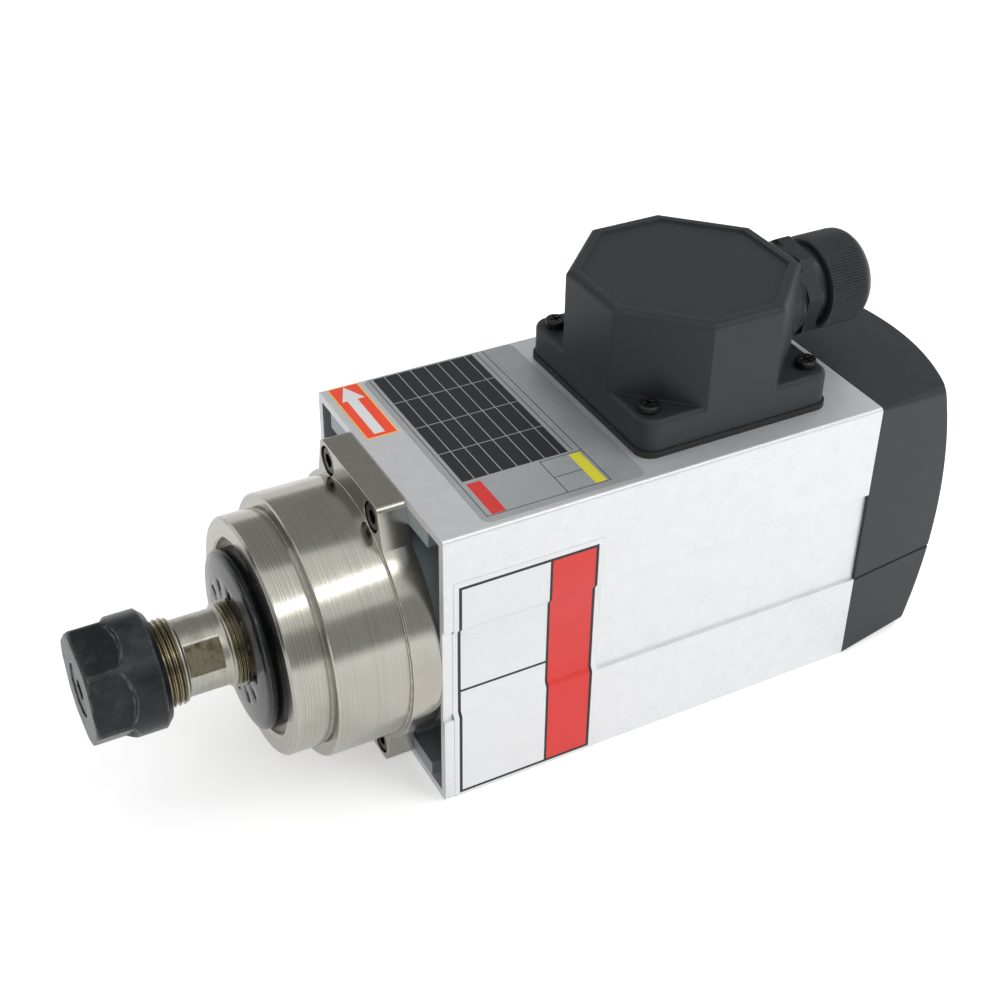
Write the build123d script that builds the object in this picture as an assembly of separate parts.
from build123d import *
from math import atan, cos, degrees, radians, sin, sqrt, tan
import os

# Air-cooled motor spindle with a square aluminium body, a round steel nose, a collet chuck,
# a terminal box on top and a fan cover behind. Millimetres.
# +X runs along the spindle axis from the nose to the fan, +Z is up.
# The origin lies on the spindle axis, at the flange face against which the nose pilot stands.

# ---------------------------------------------------------------- driving sizes
running_clearance = 0.05      # radial gap of every running fit
thread_clearance = 0.05       # radial gap between a screw and its thread
spigot_clearance = 0.04       # radial gap of a located spigot
shank_play = 0.25             # radial gap of a screw's shank in its through hole
head_play = 0.25              # radial gap of a screw's head in its counterbore

# aluminium body
body_width = 82.0
body_height = 93.0
body_length = 141.0
body_wall = 2.5
body_edge_radius = 1.2
stator_radius = 35.0
tube_wall = 4.0
band_height = 32.0            # shallow recessed band along each side
band_depth = 1.0
rail_width = 13.0             # screw rails under the top wall and over the bottom wall
rail_height = 5.0
rail_offset = 25.5
port_radius = 4.6             # round ports that the flange and bracket screws bite into
port_y = 14.8
port_z = 40.4
port_depth = 18.0
base_spacing_x = 90.0
base_hole_radius = 3.0

# nose and flange
pilot_radius = 38.5
pilot_length = 21.2
nose_radius = 34.7
nose_length = 11.0
nose_bevel = 0.8
relief_width = 1.0
relief_depth = 0.6
flange_thickness = 8.5
flange_radius = 40.0
tab_half_width = 19.6
tab_drop = 0.8                # the tabs stay this much inside the body's height
tab_root_half_width = 22.0
tab_corner_radius = 2.0
spigot_length = 8.0
spigot_wall = 5.0

# front bearings, two angular contact bearings with a spacer between them
front_shaft_radius = 12.5
front_race_radius = 23.5
front_bearing_width = 12.0
front_spacer_width = 4.0
front_ball_radius = 3.1
front_ball_count = 12
front_shoulder = 3.0          # the housing shoulder behind the rear bearing of the pair
cap_thickness = 4.0
cap_radius = 28.5
cap_lip_radius = 20.3

# labyrinth nut, the polished ring that clamps the front bearings
labyrinth_radius = 26.0
labyrinth_hub_radius = 19.5
labyrinth_face_radius = 18.5
labyrinth_rim_gap = 0.8
labyrinth_proud = 4.2         # how far it stands out of the nose
labyrinth_cone = 0.8
labyrinth_slots = 12
slot_inner_radius = 14.3
slot_length = 3.0
slot_width = 1.3
slot_depth = 1.6

# shaft
thread_radius = 12.4
waist_radius = 11.0
waist_length = 13.1
front_thread_length = 20.4
flats_width = 20.0            # across the two wrench flats
flats_length = 10.0
flats_inset = 0.8
flats_angle = 148.0           # turn of the first flat from +Y towards +Z
shoulder_radius = 15.0
shoulder_length = 9.0
rotor_seat_radius = 13.0
rear_neck_radius = 10.0
fan_seat_radius = 6.5
shank_relief_radius = 4.0
shank_relief_length = 20.0

# collet and its nut
collet_bore_radius = 3.0
collet_length = 31.5
collet_face_radius = 7.9
collet_head_length = 3.0
collet_groove_length = 2.0
collet_groove_radius = 8.6
collet_radius = 10.3
collet_land = 0.6
collet_taper = 8.0            # half angle of the long cone
collet_front_angle = 30.0     # half angle of the short front cone
collet_slits = 6
collet_slit_width = 0.4
collet_slit_end = 4.0
collet_slit_turn = 7.5
seat_setback = 0.7            # shaft face behind the widest place of the collet
nut_length = 21.2
nut_radius = 17.0
nut_across_flats = 30.0
nut_flat_length = 11.6        # from the front face to the middle of a flat's round end
nut_cutter_radius = 15.5
nut_front_bevel = 1.3
nut_rear_bevel = 1.8
nut_angle = 133.0             # turn of one hexagon corner from +Y towards +Z
nut_lip_play = 0.1
collet_setback = 0.4

# motor
stack_start = 30.0            # behind the front of the body
stack_length = 72.0
air_gap = 0.3
rotor_radius = 21.2
stator_slots = 24
stator_slot_width = 3.0
stator_slot_root = 30.5
stator_tooth_tip = 1.6
coil_clearance = 0.15
coil_overhang = 14.0
coil_outer_radius = 32.5
coil_inner_radius = 23.4
end_ring_outer_radius = 20.6
end_ring_inner_radius = 14.6
end_ring_length = 7.0
paddle_length = 5.0           # small fan paddles cast on the end rings
paddle_thickness = 1.4

# rear bracket and bearing
rear_shaft_radius = 7.5
rear_race_radius = 17.5
rear_bearing_width = 11.0
rear_ball_radius = 3.0
rear_ball_count = 8
bracket_thickness = 4.5
bracket_radius = 37.0
bracket_spigot_length = 9.0
bracket_hub_radius = 21.5
bracket_floor = 2.5
spring_thickness = 1.6
spring_radial_width = 3.0
rear_lug_radius = 3.4
corner_lug_offset = 29.0
corner_lug_radius = 5.5

# fan and its cover
fan_radius = 31.5
fan_hub_radius = 12.0
fan_hub_length = 19.0
fan_gap = 2.5
fan_disc_thickness = 1.5
fan_blade_height = 15.5
fan_blade_thickness = 1.8
fan_blades = 9
fan_blade_turn = 28.0
circlip_thickness = 1.0
circlip_radius = 9.0
cover_length = 42.0
cover_end_width = 73.0        # the cover narrows towards the fan end
cover_end_height = 88.4
cover_dome_radius = 160.0     # the end is rounded from top to bottom, and more from side to side
cover_dome_sag = 12.5          # how far it falls back at its sides
cover_wall = 2.0
cover_corner_radius = 4.0
cover_seam_width = 0.9
cover_seam_depth = 0.5
grille_hub_radius = 9.0
grille_slot = 3.4
grille_bar = 2.6
grille_rings = 4
grille_spoke = 4.0
post_radius = 4.5

# terminal box
box_length = 62.4
box_width = 65.0
box_centre = 104.8
box_corner_radius = 5.0
box_chamfer = 19.8
box_wall = 2.5
box_ledge = 9.7               # height of the screw ledges over the gasket
box_height = 35.2
box_rim = 3.4
box_panel_depth = 0.6
box_edge_radius = 1.6
gasket_thickness = 1.8
gasket_proud = 0.5
box_screw_x = 26.2
box_screw_y = 26.0
lead_slot_length = 12.0
lead_slot_width = 32.0
lead_place = 114.5
lead_radius = 1.1
lead_bend = 6.0
lead_count = 3
lead_spacing = 12.0
grommet_thickness = 1.2
grommet_flange = 1.5
block_length = 18.0
block_height = 10.0
block_centre = 95.0
block_margin = 7.0
barrier_thickness = 1.6
barrier_height = 5.0
stud_radius = 2.0
stud_proud = 7.0
lug_radius = 4.0
lug_thickness = 1.6
lug_tongue_width = 3.0
lug_tongue_length = 3.5
stud_nut_across = 7.0
stud_nut_height = 3.0
earth_x = 112.0
earth_y = 22.0

# cable gland
gland_height = 67.9
gland_thread_radius = 9.9
gland_inside_length = 8.0
gland_flange_radius = 14.2
gland_flange_length = 1.2
gland_washer = 0.9
gland_boss_radius = 14.6
gland_boss_height = 0.8
gland_across = 28.4           # across its eight flats
gland_flats_length = 4.6
gland_flats_turn = 121.5      # turn of one corner from +Y towards +Z
gland_neck_radius = 12.0
gland_neck_length = 13.6
gland_passage_radius = 7.5
gland_seat_radius = 10.6
gland_seat_depth = 15.0
dome_radius = 14.2
dome_gap = 4.4                # thread that shows between the flats and the dome nut
dome_length = 16.6
dome_barrel = 12.1
dome_mouth_radius = 8.0
dome_wall = 2.2
claw_radius = 10.4
claw_thickness = 1.5
claw_length = 11.0
claw_slits = 8
claw_slit_width = 1.2
claw_root = 3.5
seal_radius = 8.8
seal_bore_radius = 6.0
seal_length = 10.0

# screws: (shank radius, head radius, head height)
M5_SOCKET = (2.5, 4.25, 5.0)
M4_SOCKET = (2.0, 3.5, 4.0)
M4_PAN = (2.0, 3.6, 2.6)
BOX_PAN = (1.75, 3.1, 2.3)
flange_screw_length = 20.0
flange_screw_sunk = 0.4
bracket_screw_length = 13.0
cover_screw_length = 33.0
box_screw_length = 18.0
earth_screw_length = 6.0
earth_screw_cross = 4.4
box_screw_cross = 3.8           # width across the cross recess

# ---------------------------------------------------------------- places along the axis
body_front = flange_thickness
body_rear = body_front + body_length
nose_front = -pilot_length - nose_length
bearing_rear = front_shoulder
bearing_front = bearing_rear - 2 * front_bearing_width - front_spacer_width
cap_front = bearing_front - cap_thickness
labyrinth_front = nose_front - labyrinth_proud
waist_rear = labyrinth_front - 3.7
waist_front = waist_rear - waist_length
shaft_front = waist_front - front_thread_length
stack_front = body_front + stack_start
stack_rear = stack_front + stack_length
rear_bearing_front = body_rear - rear_bearing_width - 0.5
pocket_floor = rear_bearing_front + rear_bearing_width + spring_thickness + 0.3
bracket_rear = max(body_rear + bracket_thickness, pocket_floor + bracket_floor)
fan_front = bracket_rear + fan_gap
fan_rear = fan_front + fan_hub_length
shaft_rear = fan_rear + circlip_thickness + 2.0
cover_rear = body_rear + cover_length
tube_radius = stator_radius + tube_wall
top = body_height / 2

front_pitch_radius = (front_shaft_radius + front_race_radius) / 2
rear_pitch_radius = (rear_shaft_radius + rear_race_radius) / 2

# the collet's cones and where they seat
collet_head_radius = collet_face_radius + (collet_head_length - 0.4) * tan(radians(collet_front_angle))
collet_land_end = collet_head_length + collet_groove_length + collet_land
collet_front = shaft_front - seat_setback - collet_land_end
collet_tail_radius = collet_radius - (collet_length - collet_land_end) * tan(radians(collet_taper))
nut_front = collet_front - collet_setback
nut_rear = nut_front + nut_length

box_base = top + gasket_thickness
box_top = box_base + box_height
box_rear = box_centre + box_length / 2
gland_face = box_rear + gland_boss_height
dome_front = gland_face + gland_washer + gland_flange_length + gland_flats_length + dome_gap


# ---------------------------------------------------------------- helpers
def along_x(start, end, section):
    """A prism along X from a section drawn in Y and Z."""
    return extrude(Plane.YZ.offset(start) * section, end - start)


def upward(low, high, section):
    """A prism along Z from a section drawn in X and Y."""
    return extrude(Plane.XY.offset(low) * section, high - low)


def tube(start, end, outer, inner):
    """A ring about the spindle axis."""
    return along_x(start, end, Circle(outer) - Circle(inner))


def turned(points):
    """A solid turned about the spindle axis, from (x, radius) points."""
    return revolve(Plane.XZ * make_face(Polyline(*points, close=True)), Axis.X)


def hexagon(across_flats):
    """A hexagon with a corner on its first axis."""
    return RegularPolygon(across_flats / sqrt(3), 6)


def about_x(shape, count, first=0.0):
    """Copies of a shape turned evenly about the spindle axis."""
    return [Rot(first + 360 * i / count, 0, 0) * shape for i in range(count)]


def four_places(y, z):
    """The four mirrored places of a screw pattern seen along X."""
    return [(sy * y, sz * z) for sy in (-1, 1) for sz in (-1, 1)]


def screw(size, length, socket_across=None, slot=None):
    """A screw along -Z whose head rests on z = 0."""
    shank, head, height = size
    body = Cylinder(shank, length, align=(Align.CENTER, Align.CENTER, Align.MAX))
    body += Cylinder(head, height, align=(Align.CENTER, Align.CENTER, Align.MIN))
    rim = body.faces().sort_by(Axis.Z)[-1].edges()
    body = chamfer(rim, height * 0.12)
    if socket_across:
        body -= upward(height * 0.45, height, hexagon(socket_across))
    if slot:
        depth = height * 0.5
        cross = Box(slot, 0.9, depth) + Box(0.9, slot, depth)
        body -= Pos(0, 0, height - depth / 2) * cross
    return body


def screws_along_x(size, length, places, x, facing, socket_across):
    """Copies of a screw whose head rests on the plane x and looks towards facing."""
    turn = Rot(0, 90 * facing, 0)
    one = screw(size, length, socket_across=socket_across)
    return [Pos(x, y, z) * turn * one for y, z in places]


def octagon(inset=0.0):
    """The plan of the terminal box tower, drawn about its centre."""
    x = box_length / 2 - inset
    y = box_width / 2 - inset
    cut = box_chamfer - inset * (2 - sqrt(2))
    right = [(x, -y + cut), (x, y - cut), (x - cut, y)]
    left = [(-x + cut, y), (-x, y - cut), (-x, -y + cut)]
    return make_face(Polyline(*right, *left, (-x + cut, -y), (x - cut, -y), close=True))


# ---------------------------------------------------------------- body
def body_shell():
    """The extrusion: outer box, inner stator tube, screw rails and screw ports."""
    outer = RectangleRounded(body_width, body_height, body_edge_radius)
    hollow = Rectangle(body_width - 2 * body_wall, body_height - 2 * body_wall)
    hollow -= Circle(tube_radius)
    rail_z = top - body_wall - rail_height / 2
    for y, z in four_places(rail_offset, rail_z):
        hollow -= Pos(y, z) * Rectangle(rail_width, rail_height)
    for y, z in four_places(port_y, port_z):
        hollow -= Pos(y, z) * Circle(port_radius)
    body = along_x(body_front, body_rear, outer - hollow - Circle(stator_radius))
    band = Box(body_length, 2 * band_depth, band_height)
    middle = body_front + body_length / 2
    for side in (-1, 1):
        body -= Pos(middle, side * body_width / 2, 0) * band
    front_thread = M5_SOCKET[0] + thread_clearance
    rear_thread = M4_SOCKET[0] + thread_clearance
    for y, z in four_places(port_y, port_z):
        body -= along_x(body_front, body_front + port_depth, Pos(y, z) * Circle(front_thread))
        body -= along_x(body_rear - port_depth, body_rear, Pos(y, z) * Circle(rear_thread))
    for x in (-base_spacing_x / 2, base_spacing_x / 2):
        for y in (-rail_offset, rail_offset):
            hole = Pos(middle + x, y) * Circle(base_hole_radius)
            body -= upward(-top, -top + body_wall + rail_height, hole)
    slot = Pos(lead_place, 0) * Rectangle(lead_slot_length, lead_slot_width)
    body -= upward(coil_inner_radius, top, slot)
    box_thread = BOX_PAN[0] + thread_clearance
    for place in box_screw_places():
        body -= upward(top - body_wall - rail_height, top, Pos(*place) * Circle(box_thread))
    earth_thread = M4_PAN[0] + thread_clearance
    body -= upward(top - body_wall - rail_height, top, Pos(earth_x, earth_y) * Circle(earth_thread))
    return body


def front_housing():
    """Nose, pilot, flange with its two tabs and the bearing seats, in one piece of steel."""
    step = -pilot_length
    half = top - tab_drop
    nose = turned([
        (nose_front, 0), (nose_front, nose_radius - nose_bevel), (nose_front + nose_bevel, nose_radius),
        (step - relief_width, nose_radius), (step - relief_width, nose_radius - relief_depth),
        (step, nose_radius - relief_depth), (step, pilot_radius - nose_bevel / 2),
        (step + nose_bevel / 2, pilot_radius), (body_front, pilot_radius), (body_front, 0),
    ])
    flange = Circle(flange_radius)
    tab = Rectangle(2 * tab_half_width, 2 * half)
    tab = fillet(tab.vertices(), tab_corner_radius)
    root = (flange_radius ** 2 - tab_root_half_width ** 2) ** 0.5
    for side in (-1, 1):
        flare = Polyline((-tab_root_half_width, side * root), (tab_root_half_width, side * root),
                         (tab_half_width, side * (half - tab_corner_radius)),
                         (-tab_half_width, side * (half - tab_corner_radius)), close=True)
        flange += make_face(flare)
    housing = nose + along_x(0, body_front, flange + tab)
    spigot = stator_radius - spigot_clearance
    housing += tube(body_front, body_front + spigot_length, spigot, spigot - spigot_wall)
    housing -= turned([
        (nose_front, 0), (nose_front, cap_radius + relief_depth), (nose_front + relief_depth, cap_radius),
        (bearing_front, cap_radius), (bearing_front, front_race_radius), (bearing_rear, front_race_radius),
        (bearing_rear, cap_lip_radius), (body_front, cap_lip_radius), (body_front, 0),
    ])
    shank, head, height = M5_SOCKET
    floor = height + flange_screw_sunk
    for y, z in four_places(port_y, port_z):
        housing -= along_x(0, body_front, Pos(y, z) * Circle(shank + shank_play))
        housing -= along_x(-relief_width, floor, Pos(y, z) * Circle(head + head_play))
    return housing


def flange_screws():
    """Four socket screws, sunk in the flange."""
    floor = M5_SOCKET[2] + flange_screw_sunk
    return screws_along_x(M5_SOCKET, flange_screw_length, four_places(port_y, port_z), floor, -1, 4.0)


# ---------------------------------------------------------------- bearings
def bearing_ring(start, width, inner, outer, pitch, ball):
    """One ring of a ball bearing, with the groove that its balls run in."""
    section = Pos(start + width / 2, (inner + outer) / 2) * Rectangle(width, outer - inner)
    section -= Pos(start + width / 2, pitch) * Circle(ball + running_clearance)
    return revolve(Plane.XZ * section, Axis.X)


def ball_shoulder(bore, race, side):
    """Radius of a ring's shoulder: the gap between the rings is centred on the balls."""
    pitch = (bore + race) / 2
    return pitch + side * (race - bore) * 0.21


def balls(start, width, pitch, ball, count):
    one = Pos(start + width / 2, 0, pitch) * Sphere(ball)
    return about_x(one, count)


def cage(start, width, pitch, ball, count):
    """The ring that keeps the balls apart."""
    half = ball * 0.28
    ring = tube(start + 1.2, start + width - 1.2, pitch + half, pitch - half)
    for pocket in balls(start, width, pitch, ball + running_clearance, count):
        ring -= pocket
    return ring


def front_bearing_starts():
    return [bearing_front, bearing_front + front_bearing_width + front_spacer_width]


def front_outer_rings():
    low = ball_shoulder(front_shaft_radius, front_race_radius, 1)
    return [bearing_ring(x, front_bearing_width, low, front_race_radius, front_pitch_radius, front_ball_radius)
            for x in front_bearing_starts()]


def front_inner_rings():
    high = ball_shoulder(front_shaft_radius, front_race_radius, -1)
    return [bearing_ring(x, front_bearing_width, front_shaft_radius, high, front_pitch_radius, front_ball_radius)
            for x in front_bearing_starts()]


def front_balls():
    return [ball for x in front_bearing_starts()
            for ball in balls(x, front_bearing_width, front_pitch_radius, front_ball_radius, front_ball_count)]


def front_cages():
    return [cage(x, front_bearing_width, front_pitch_radius, front_ball_radius, front_ball_count)
            for x in front_bearing_starts()]


def front_spacer(inner, outer):
    start = bearing_front + front_bearing_width
    return tube(start, start + front_spacer_width, outer, inner)


def front_bearing_cap():
    """Threaded ring that holds the outer rings in the nose."""
    ring = tube(cap_front, bearing_front, cap_radius, cap_lip_radius)
    hole = along_x(cap_front, cap_front + cap_thickness / 2, Circle(1.2))
    middle = (cap_radius + cap_lip_radius) / 2
    for one in about_x(Pos(0, 0, middle) * hole, 4, first=45):
        ring -= one
    return ring


def labyrinth_nut():
    """Polished ring nut with a rim inside the nose and a ring of spanner slots."""
    bore = thread_radius + thread_clearance
    rim_rear = cap_front - labyrinth_rim_gap
    bevel = 0.5
    ring = turned([
        (labyrinth_front, bore), (labyrinth_front, labyrinth_face_radius),
        (labyrinth_front + labyrinth_cone, labyrinth_radius - bevel),
        (labyrinth_front + labyrinth_cone + bevel, labyrinth_radius), (rim_rear, labyrinth_radius),
        (rim_rear, labyrinth_hub_radius), (bearing_front, labyrinth_hub_radius), (bearing_front, bore),
    ])
    slot = Box(2 * slot_depth, slot_width, slot_length)
    slot = Pos(labyrinth_front, 0, slot_inner_radius + slot_length / 2) * slot
    for one in about_x(slot, labyrinth_slots):
        ring -= one
    return ring


# ---------------------------------------------------------------- shaft and collet
def shaft():
    """The spindle shaft: collet seat, threads, wrench flats, bearing seats and fan seat."""
    seat = collet_radius - seat_setback * tan(radians(collet_taper)) + running_clearance
    collet_rear = collet_front + collet_length
    seat_end = collet_rear + 1.5
    seat_tail = collet_radius - (seat_end - collet_front - collet_land_end) * tan(radians(collet_taper))
    seat_tail += running_clearance
    bar = turned([
        (shaft_front, seat), (shaft_front, thread_radius - 0.6), (shaft_front + 0.6, thread_radius),
        (waist_front - 0.6, thread_radius), (waist_front, thread_radius - 0.6), (waist_front, waist_radius),
        (waist_rear, waist_radius), (waist_rear, thread_radius - 0.6), (waist_rear + 0.6, thread_radius),
        (bearing_front, thread_radius), (bearing_front, front_shaft_radius),
        (bearing_rear, front_shaft_radius), (bearing_rear, shoulder_radius),
        (bearing_rear + shoulder_length, shoulder_radius), (bearing_rear + shoulder_length, rotor_seat_radius),
        (stack_rear + end_ring_length + 4, rotor_seat_radius),
        (stack_rear + end_ring_length + 4, rear_neck_radius),
        (rear_bearing_front, rear_neck_radius), (rear_bearing_front, rear_shaft_radius),
        (pocket_floor, rear_shaft_radius), (pocket_floor, fan_seat_radius),
        (fan_rear, fan_seat_radius), (fan_rear, fan_seat_radius - 0.5),
        (fan_rear + circlip_thickness, fan_seat_radius - 0.5), (fan_rear + circlip_thickness, fan_seat_radius),
        (shaft_rear - 0.8, fan_seat_radius), (shaft_rear, fan_seat_radius - 0.8), (shaft_rear, 0),
        (seat_end + shank_relief_length, 0), (seat_end + shank_relief_length, shank_relief_radius),
        (seat_end, shank_relief_radius), (seat_end, seat_tail),
    ])
    start = waist_front + flats_inset
    cut = Pos(start + flats_length / 2, flats_width / 2 + waist_radius, 0)
    cut *= Box(flats_length, 2 * waist_radius, 4 * waist_radius)
    for one in about_x(cut, 2, first=flats_angle):
        bar -= one
    return bar


def collet():
    """Spring collet: two opposed sets of slits in a turned double cone."""
    x = collet_front
    sleeve = turned([
        (x, collet_bore_radius), (x, collet_face_radius),
        (x + collet_head_length - 0.4, collet_head_radius), (x + collet_head_length, collet_head_radius),
        (x + collet_head_length, collet_groove_radius),
        (x + collet_head_length + collet_groove_length, collet_groove_radius),
        (x + collet_head_length + collet_groove_length, collet_radius),
        (x + collet_land_end, collet_radius), (x + collet_length, collet_tail_radius),
        (x + collet_length, collet_bore_radius),
    ])
    length = collet_length - collet_slit_end
    slit = Box(length, collet_slit_width, 2 * collet_radius, align=(Align.MIN, Align.CENTER, Align.MIN))
    for i in range(collet_slits):
        turn = collet_slit_turn + 360 * i / collet_slits
        sleeve -= Pos(x, 0, 0) * Rot(turn, 0, 0) * slit
        sleeve -= Pos(x + collet_slit_end, 0, 0) * Rot(turn + 180 / collet_slits, 0, 0) * slit
    return sleeve


def collet_nut():
    """Hexagon nut whose lip hooks into the collet's groove."""
    x = collet_front
    slope = tan(radians(collet_front_angle))
    lean = running_clearance / cos(radians(collet_front_angle))
    head_end = x + collet_head_length + nut_lip_play
    groove_end = x + collet_head_length + collet_groove_length - nut_lip_play
    thread_start = shaft_front - 1.5
    mouth = collet_face_radius - collet_setback * slope + lean
    seat = collet_head_radius + lean
    nut = turned([
        (nut_front, mouth), (nut_front, nut_radius - nut_front_bevel),
        (nut_front + nut_front_bevel * slope, nut_radius), (nut_rear - nut_rear_bevel, nut_radius),
        (nut_rear, nut_radius - nut_rear_bevel), (nut_rear, thread_radius + thread_clearance),
        (thread_start, thread_radius + thread_clearance), (thread_start, collet_radius + 0.4),
        (groove_end, collet_radius + 0.4), (groove_end, collet_groove_radius + 0.3),
        (head_end, collet_groove_radius + 0.3), (head_end, seat), (x + collet_head_length - 0.4, seat),
    ])
    half = nut_across_flats / 2
    depth = nut_radius
    round_end = Plane.XY * Pos(nut_front + nut_flat_length - nut_cutter_radius, 0) * Circle(nut_cutter_radius)
    run_in = Plane.XY * Pos(nut_front - nut_radius / 2 + (nut_flat_length - nut_cutter_radius) / 2, 0)
    run_in *= Rectangle(nut_radius + nut_flat_length - nut_cutter_radius, 2 * nut_cutter_radius)
    flat = Pos(0, 0, half) * extrude(round_end + run_in, depth)
    for one in about_x(flat, 6, first=nut_angle - 90 - 30):
        nut -= one
    return nut


# ---------------------------------------------------------------- motor
def stator_slot(width, low, high):
    """One radial slot, drawn in Y and Z."""
    return Pos(0, (low + high) / 2) * Rectangle(width, high - low)


def stator_core():
    bore = rotor_radius + air_gap
    section = Circle(stator_radius) - Circle(bore)
    slot = stator_slot(stator_slot_width, bore + stator_tooth_tip, stator_slot_root)
    for i in range(stator_slots):
        section -= Rot(0, 0, 360 * i / stator_slots) * slot
    return along_x(stack_front, stack_rear, section)


def stator_windings():
    """Slot bars and the two coil heads."""
    bore = rotor_radius + air_gap
    low = bore + stator_tooth_tip + coil_clearance
    bar = stator_slot(stator_slot_width - 2 * coil_clearance, low, stator_slot_root - coil_clearance)
    gap = 0.5
    bars = [along_x(stack_front - gap - 1, stack_rear + gap + 1, Rot(0, 0, 360 * i / stator_slots) * bar)
            for i in range(stator_slots)]
    heads = []
    for near, far in ((stack_front - gap, stack_front - coil_overhang),
                      (stack_rear + gap, stack_rear + coil_overhang)):
        towards = 1 if far > near else -1
        round_off = 3.0 * towards
        heads.append(turned([
            (near, coil_inner_radius), (near, coil_outer_radius), (far - round_off, coil_outer_radius),
            (far, coil_outer_radius - 3.0), (far, coil_inner_radius + 2.0),
            (far - round_off, coil_inner_radius),
        ]))
    winding = heads[0] + heads[1]
    for one in bars:
        winding += one
    return winding


def rotor_core():
    return tube(stack_front, stack_rear, rotor_radius, rotor_seat_radius)


def rotor_end_rings():
    """Cast end rings with small paddles."""
    rings = []
    for start, outwards in ((stack_front, -1), (stack_rear, 1)):
        end = start + outwards * end_ring_length
        low, high = min(start, end), max(start, end)
        ring = tube(low, high, end_ring_outer_radius, end_ring_inner_radius)
        middle = (end_ring_outer_radius + end_ring_inner_radius) / 2
        width = end_ring_outer_radius - end_ring_inner_radius
        paddle = Pos(end + outwards * 1.5, 0, middle) * Box(paddle_length, paddle_thickness, width * 0.8)
        for one in about_x(paddle, 6):
            ring += one
        rings.append(ring)
    return rings


# ---------------------------------------------------------------- rear bracket, fan and cover
def corner_places():
    return four_places(corner_lug_offset, corner_lug_offset)


def rear_bracket():
    """End shield: spigot, bearing pocket, screw lugs and corner lugs for the cover."""
    plate = Circle(bracket_radius)
    for y, z in four_places(port_y, port_z):
        plate += Pos(y, z / 2) * Rectangle(2 * rear_lug_radius, abs(z))
        plate += Pos(y, z) * Circle(rear_lug_radius)
    for y, z in corner_places():
        plate += Pos(y, z) * Circle(corner_lug_radius)
    bracket = along_x(body_rear, bracket_rear, plate)
    spigot = stator_radius - spigot_clearance
    bracket += tube(body_rear - bracket_spigot_length, body_rear, spigot, spigot - spigot_wall)
    bracket += along_x(rear_bearing_front, body_rear, Circle(bracket_hub_radius))
    bracket -= along_x(rear_bearing_front, pocket_floor, Circle(rear_race_radius))
    bracket -= along_x(pocket_floor, bracket_rear, Circle(rear_shaft_radius + 1.5))
    through = M4_SOCKET[0] + shank_play
    for y, z in four_places(port_y, port_z):
        bracket -= along_x(body_rear, bracket_rear, Pos(y, z) * Circle(through))
    thread = M4_PAN[0] + thread_clearance
    for y, z in corner_places():
        bracket -= along_x(body_rear, bracket_rear, Pos(y, z) * Circle(thread))
    return bracket


def bracket_screws():
    return screws_along_x(M4_SOCKET, bracket_screw_length, four_places(port_y, port_z), bracket_rear, 1, 3.0)


def rear_outer_ring():
    low = ball_shoulder(rear_shaft_radius, rear_race_radius, 1)
    return bearing_ring(rear_bearing_front, rear_bearing_width, low, rear_race_radius,
                        rear_pitch_radius, rear_ball_radius)


def rear_inner_ring():
    high = ball_shoulder(rear_shaft_radius, rear_race_radius, -1)
    return bearing_ring(rear_bearing_front, rear_bearing_width, rear_shaft_radius, high,
                        rear_pitch_radius, rear_ball_radius)


def wave_spring():
    start = rear_bearing_front + rear_bearing_width
    return tube(start, start + spring_thickness, rear_race_radius - 0.3,
                rear_race_radius - 0.3 - spring_radial_width)


def fan():
    """Radial fan: disc, hub and blades that lean back."""
    hub = tube(fan_front, fan_rear, fan_hub_radius, fan_seat_radius)
    wheel = hub + tube(fan_front, fan_front + fan_disc_thickness, fan_radius, fan_seat_radius)
    start, end = fan_hub_radius - 1, fan_radius - 0.5
    turn = radians(fan_blade_turn)
    middle = (start + end) / 2
    arc = ThreePointArc((start, 0), (middle * cos(turn * 0.35), -middle * sin(turn * 0.35)),
                        (end * cos(turn), -end * sin(turn)))
    blade_plan = trace(arc, fan_blade_thickness)
    blade = along_x(fan_front, fan_front + fan_disc_thickness + fan_blade_height, blade_plan)
    for one in about_x(blade, fan_blades):
        wheel += one
    return wheel


def fan_circlip():
    ring = Circle(circlip_radius) - Circle(fan_seat_radius - 0.5 + 0.02)
    ring -= Pos(0, circlip_radius) * Rectangle(4.0, 2 * circlip_radius)
    return along_x(fan_rear, fan_rear + circlip_thickness, ring)


def cover_block(inset):
    """The cover's outer form, or its hollow when inset by the wall, before its end is rounded."""
    mouth = RectangleRounded(body_width - 2 * inset, body_height - 2 * inset, body_edge_radius)
    corner = cover_corner_radius - inset
    end = RectangleRounded(cover_end_width - 2 * inset, cover_end_height - 2 * inset, corner)
    return loft([Plane.YZ.offset(body_rear) * mouth, Plane.YZ.offset(cover_rear) * end])


def dome_solid(inset):
    """A barrel turned about a line across the body, whose surface is the cover's round end."""
    pivot = cover_rear - cover_dome_radius
    half = body_width / 2 + 3
    low = cover_rear - cover_dome_sag - inset
    crown = (cover_rear - inset + cover_dome_sag, 0)
    outline = Bezier((low, -half), crown, (low, half))
    outline += Polyline((low, half), (pivot, half), (pivot, -half), (low, -half))
    across = Axis((pivot, 0, 0), (0, 1, 0))
    return revolve((Plane.XY * make_face(outline)).rotate(across, -90), across, revolution_arc=180)


def dome_place(y, z):
    """Where the cover's round end lies, at a place seen along the axis."""
    reach = cover_dome_radius - cover_dome_sag * (y / (body_width / 2 + 3)) ** 2
    return cover_rear - cover_dome_radius + sqrt(reach ** 2 - z ** 2)


def cover_counterbore():
    """The plane in which the heads of the cover screws rest."""
    return dome_place(corner_lug_offset, corner_lug_offset) - cover_wall - M4_PAN[2]


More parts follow.
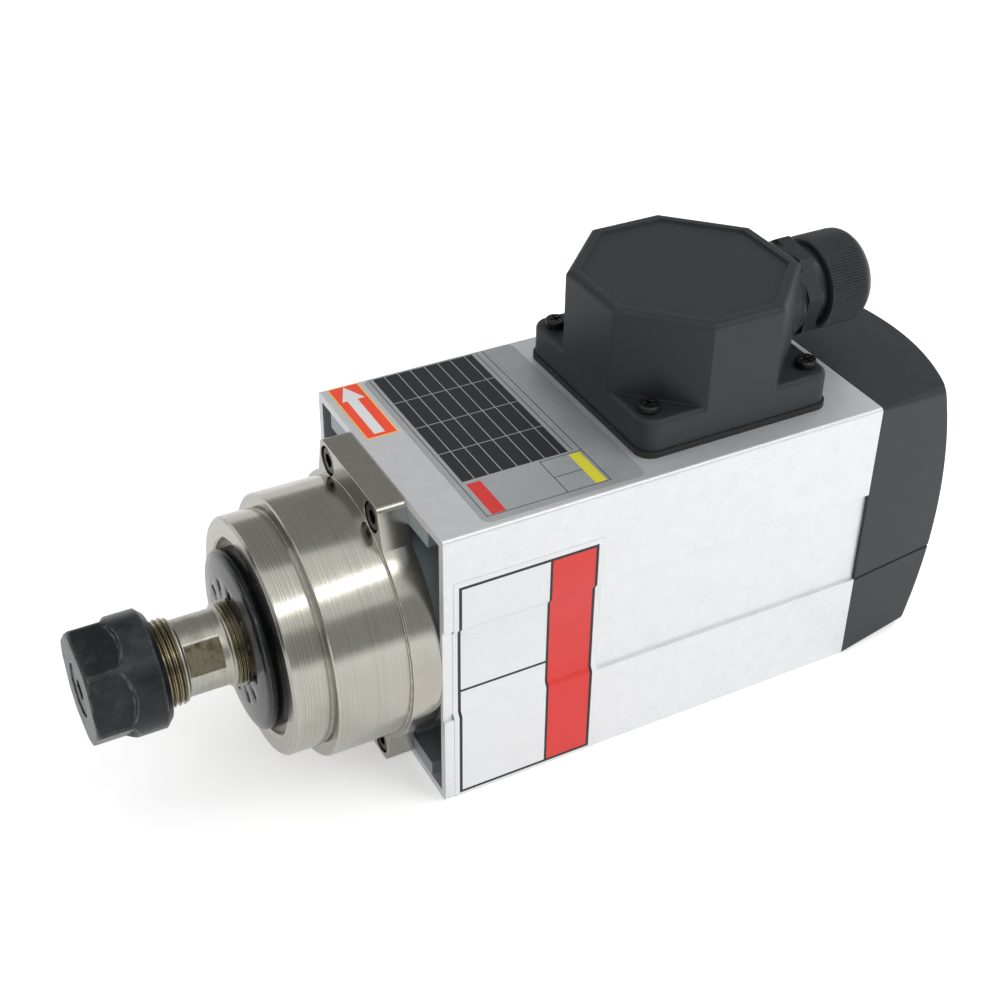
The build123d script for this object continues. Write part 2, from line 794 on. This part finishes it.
def fan_cover():
    """Moulded cover with a ring grille and four screw posts."""
    hollow = cover_block(cover_wall) & dome_solid(cover_wall)
    for y, z in corner_places():
        hollow -= along_x(bracket_rear, cover_rear, Pos(y, z) * Circle(post_radius))
    shell = cover_block(0) - hollow
    low = dome_place(fan_radius, 0) - cover_wall - 4
    grille = Sketch()
    for i in range(grille_rings):
        inner = grille_hub_radius + i * (grille_slot + grille_bar)
        grille += Circle(inner + grille_slot) - Circle(inner)
    reach = 2 * grille_hub_radius + 2 * grille_rings * (grille_slot + grille_bar)
    for turn in (0, 60, 120):
        grille -= Rot(0, 0, turn) * Rectangle(reach, grille_spoke)
    shell -= along_x(low, cover_rear + 1, grille)
    shank, head, height = M4_PAN
    floor = cover_counterbore()
    for y, z in corner_places():
        shell -= along_x(bracket_rear, floor, Pos(y, z) * Circle(shank + shank_play))
        shell -= along_x(floor, cover_rear + 1, Pos(y, z) * Circle(head + head_play))
    seam = Box(3 * cover_length, 2 * cover_seam_depth, cover_seam_width)
    lean = degrees(atan((body_width - cover_end_width) / 2 / cover_length))
    for side in (-1, 1):
        shell -= Pos(body_rear, side * body_width / 2, -band_height / 2) * Rot(0, 0, -side * lean) * seam
    return shell & dome_solid(0)


def cover_screws():
    return screws_along_x(M4_PAN, cover_screw_length, corner_places(), cover_counterbore(), 1, 2.5)


# ---------------------------------------------------------------- terminal box
def box_screw_places():
    return [(box_centre + sx * box_screw_x, sy * box_screw_y) for sx in (-1, 1) for sy in (-1, 1)]


def terminal_gasket():
    outer = RectangleRounded(box_length + 2 * gasket_proud, box_width + 2 * gasket_proud, box_corner_radius)
    sheet = upward(top, box_base, Pos(box_centre, 0) * (outer - octagon(box_wall)))
    for place in box_screw_places():
        sheet -= upward(top, box_base, Pos(*place) * Circle(BOX_PAN[0] + shank_play))
    return sheet


def terminal_cover():
    """Moulded box: low base with four screw ledges, and an eight-sided tower."""
    plan = RectangleRounded(box_length, box_width, box_corner_radius)
    ledge = box_base + box_ledge
    base = upward(box_base, ledge, plan)
    rim = base.faces().sort_by(Axis.Z)[-1].edges()
    base = fillet(rim, box_edge_radius)
    tower = upward(box_base, box_top, octagon())
    tower = fillet(tower.faces().sort_by(Axis.Z)[-1].edges(), box_edge_radius)
    tower -= upward(box_top - box_panel_depth, box_top, octagon(box_rim))
    cover = Pos(box_centre, 0, 0) * (base + tower)
    boss = Pos(0, gland_height) * Circle(gland_boss_radius)
    cover += along_x(box_rear - box_rim, gland_face, boss)
    cover -= upward(box_base, box_top - box_wall, Pos(box_centre, 0) * octagon(box_wall))
    thread = Pos(0, gland_height) * Circle(gland_thread_radius + thread_clearance)
    cover -= along_x(box_rear - box_chamfer, gland_face, thread)
    for place in box_screw_places():
        cover -= upward(box_base, ledge, Pos(*place) * Circle(BOX_PAN[0] + shank_play))
    return cover


def box_screws():
    ledge = box_base + box_ledge
    one = screw(BOX_PAN, box_screw_length, slot=box_screw_cross)
    return [Pos(x, y, ledge) * one for x, y in box_screw_places()]


def lead_rows():
    """The Y places of the three motor leads."""
    return [(i - (lead_count - 1) / 2) * lead_spacing for i in range(lead_count)]


def lead_grommet():
    """Rubber edge in the lead slot of the body."""
    slot = Rectangle(lead_slot_length, lead_slot_width)
    inner = Rectangle(lead_slot_length - 2 * grommet_thickness, lead_slot_width - 2 * grommet_thickness)
    lip = Rectangle(lead_slot_length + 2 * grommet_flange, lead_slot_width + 2 * grommet_flange)
    place = Pos(lead_place, 0)
    sleeve = upward(top - body_wall, top, place * (slot - inner))
    return sleeve + upward(top, top + grommet_thickness, place * (lip - inner))


def terminal_block():
    """Moulded block with barriers between the studs."""
    width = (lead_count - 1) * lead_spacing + 2 * block_margin
    block = Box(block_length, width, block_height, align=(Align.CENTER, Align.CENTER, Align.MIN))
    block = Pos(block_centre, 0, top) * block
    for i in range(lead_count - 1):
        y = (i - (lead_count - 2) / 2) * lead_spacing
        barrier = Box(block_length, barrier_thickness, barrier_height,
                      align=(Align.CENTER, Align.CENTER, Align.MIN))
        block += Pos(block_centre, y, top + block_height) * barrier
    for y in lead_rows():
        block -= upward(top + 2, top + block_height, Pos(block_centre, y) * Circle(stud_radius))
    return block


def terminal_studs():
    high = top + block_height + stud_proud
    return [upward(top + 2, high, Pos(block_centre, y) * Circle(stud_radius)) for y in lead_rows()]


def terminal_nuts():
    low = top + block_height + lug_thickness
    section = hexagon(stud_nut_across) - Circle(stud_radius + thread_clearance)
    return [upward(low, low + stud_nut_height, Pos(block_centre, y) * section) for y in lead_rows()]


def motor_leads():
    """Leads from the rear coil head to the terminal studs, each with a ring lug."""
    seat = top + block_height
    high = seat + lead_radius
    leads = []
    for y in lead_rows():
        low = sqrt(coil_outer_radius ** 2 - max(abs(y) - lead_radius, 0) ** 2) + 0.1
        path = FilletPolyline((lead_place, y, low), (lead_place, y, high),
                              (block_centre + lug_radius + 1.5, y, high), radius=lead_bend)
        section = Plane((lead_place, y, low), x_dir=(1, 0, 0), z_dir=(0, 0, 1)) * Circle(lead_radius)
        lead = sweep(section, path=path)
        tongue_end = block_centre + lug_radius + lug_tongue_length
        tongue = Box(tongue_end - block_centre, lug_tongue_width, lug_thickness,
                     align=(Align.MIN, Align.CENTER, Align.MIN))
        lug = upward(seat, seat + lug_thickness, Pos(block_centre, y) * Circle(lug_radius))
        lug += Pos(block_centre, y, seat) * tongue
        lug -= upward(seat, seat + lug_thickness, Pos(block_centre, y) * Circle(stud_radius + 0.1))
        leads.append(lead + lug)
    return leads


def earth_screw():
    return Pos(earth_x, earth_y, top) * screw(M4_PAN, earth_screw_length, slot=earth_screw_cross)


# ---------------------------------------------------------------- cable gland
def on_gland(shape):
    """Moves a shape from the spindle axis to the gland's axis."""
    return Pos(0, 0, gland_height) * shape


def gland_body():
    flange_start = gland_face + gland_washer
    flats_start = flange_start + gland_flange_length
    neck_start = flats_start + gland_flats_length
    neck_end = neck_start + gland_neck_length
    inside = gland_face - gland_inside_length
    body = along_x(inside, flange_start, Circle(gland_thread_radius))
    body += along_x(flange_start, flats_start, Circle(gland_flange_radius))
    flats = Rot(0, 0, gland_flats_turn) * RegularPolygon(gland_across / 2, 8, major_radius=False)
    body += along_x(flats_start, neck_start, flats)
    body += along_x(neck_start, neck_end, Circle(gland_neck_radius))
    body -= along_x(inside, neck_end, Circle(gland_passage_radius))
    body -= along_x(neck_end - gland_seat_depth, neck_end, Circle(gland_seat_radius))
    return on_gland(body)


def gland_washer_ring():
    inner = gland_thread_radius + 4 * thread_clearance
    return on_gland(tube(gland_face, gland_face + gland_washer, gland_flange_radius, inner))


def gland_dome_nut():
    """Domed clamping nut, drawn out by a few turns of thread."""
    end = dome_front + dome_length
    shoulder = dome_front + dome_barrel
    bulge = (shoulder + (end - shoulder) * 0.62, dome_mouth_radius + (dome_radius - dome_mouth_radius) * 0.72)
    outline = Line((dome_front, gland_neck_radius + thread_clearance), (dome_front, dome_radius - 0.5))
    outline += Line((dome_front, dome_radius - 0.5), (dome_front + 0.5, dome_radius))
    outline += Line((dome_front + 0.5, dome_radius), (shoulder, dome_radius))
    outline += ThreePointArc((shoulder, dome_radius), bulge, (end, dome_mouth_radius + 0.8))
    outline += Polyline((end, dome_mouth_radius + 0.8), (end, dome_mouth_radius),
                        (end - dome_wall, dome_mouth_radius), (shoulder + 1.0, claw_radius + 0.3),
                        (shoulder, gland_neck_radius + thread_clearance),
                        (dome_front, gland_neck_radius + thread_clearance))
    return on_gland(revolve(Plane.XZ * make_face(outline), Axis.X))


def claw_start():
    return dome_front + dome_barrel - claw_length + 0.6


def gland_claws():
    """Slotted ring that the dome nut closes on the cable."""
    start = claw_start()
    ring = tube(start, start + claw_length, claw_radius, claw_radius - claw_thickness)
    slit = Box(claw_length - claw_root, claw_slit_width, 2 * claw_thickness + 2,
               align=(Align.MIN, Align.CENTER, Align.CENTER))
    slit = Pos(start + claw_root, 0, claw_radius - claw_thickness / 2) * slit
    for one in about_x(slit, claw_slits):
        ring -= one
    return on_gland(ring)


def gland_seal():
    start = claw_start() + 0.5
    return on_gland(tube(start, start + seal_length, seal_radius, seal_bore_radius))


# ---------------------------------------------------------------- writing
def pieces():
    """Every node and its solids."""
    race_low = ball_shoulder(front_shaft_radius, front_race_radius, 1)
    race_high = ball_shoulder(front_shaft_radius, front_race_radius, -1)
    rear = (rear_bearing_front, rear_bearing_width, rear_pitch_radius)
    return {
        "body_shell": body_shell(),
        "front_housing": front_housing(),
        "flange_screws": flange_screws(),
        "front_bearing_cap": front_bearing_cap(),
        "front_bearing_outer_rings": front_outer_rings(),
        "front_bearing_inner_rings": front_inner_rings(),
        "front_bearing_balls": front_balls(),
        "front_bearing_cages": front_cages(),
        "front_outer_spacer": front_spacer(race_low, front_race_radius),
        "front_inner_spacer": front_spacer(front_shaft_radius, race_high),
        "labyrinth_nut": labyrinth_nut(),
        "shaft": shaft(),
        "collet": collet(),
        "collet_nut": collet_nut(),
        "stator_core": stator_core(),
        "stator_windings": stator_windings(),
        "rotor_core": rotor_core(),
        "rotor_end_rings": rotor_end_rings(),
        "rear_bracket": rear_bracket(),
        "rear_bracket_screws": bracket_screws(),
        "rear_bearing_outer_ring": rear_outer_ring(),
        "rear_bearing_inner_ring": rear_inner_ring(),
        "rear_bearing_balls": balls(*rear, rear_ball_radius, rear_ball_count),
        "rear_bearing_cage": cage(*rear, rear_ball_radius, rear_ball_count),
        "wave_spring": wave_spring(),
        "fan": fan(),
        "fan_circlip": fan_circlip(),
        "fan_cover": fan_cover(),
        "fan_cover_screws": cover_screws(),
        "terminal_gasket": terminal_gasket(),
        "terminal_cover": terminal_cover(),
        "terminal_cover_screws": box_screws(),
        "lead_grommet": lead_grommet(),
        "terminal_block": terminal_block(),
        "terminal_studs": terminal_studs(),
        "terminal_nuts": terminal_nuts(),
        "motor_leads": motor_leads(),
        "earth_screw": earth_screw(),
        "gland_body": gland_body(),
        "gland_washer": gland_washer_ring(),
        "gland_dome_nut": gland_dome_nut(),
        "gland_claws": gland_claws(),
        "gland_seal": gland_seal(),
    }


def main():
    os.makedirs("parts", exist_ok=True)
    for name, shape in pieces().items():
        whole = Compound(children=shape) if isinstance(shape, list) else shape
        export_step(whole, f"parts/{name}.step")


main()
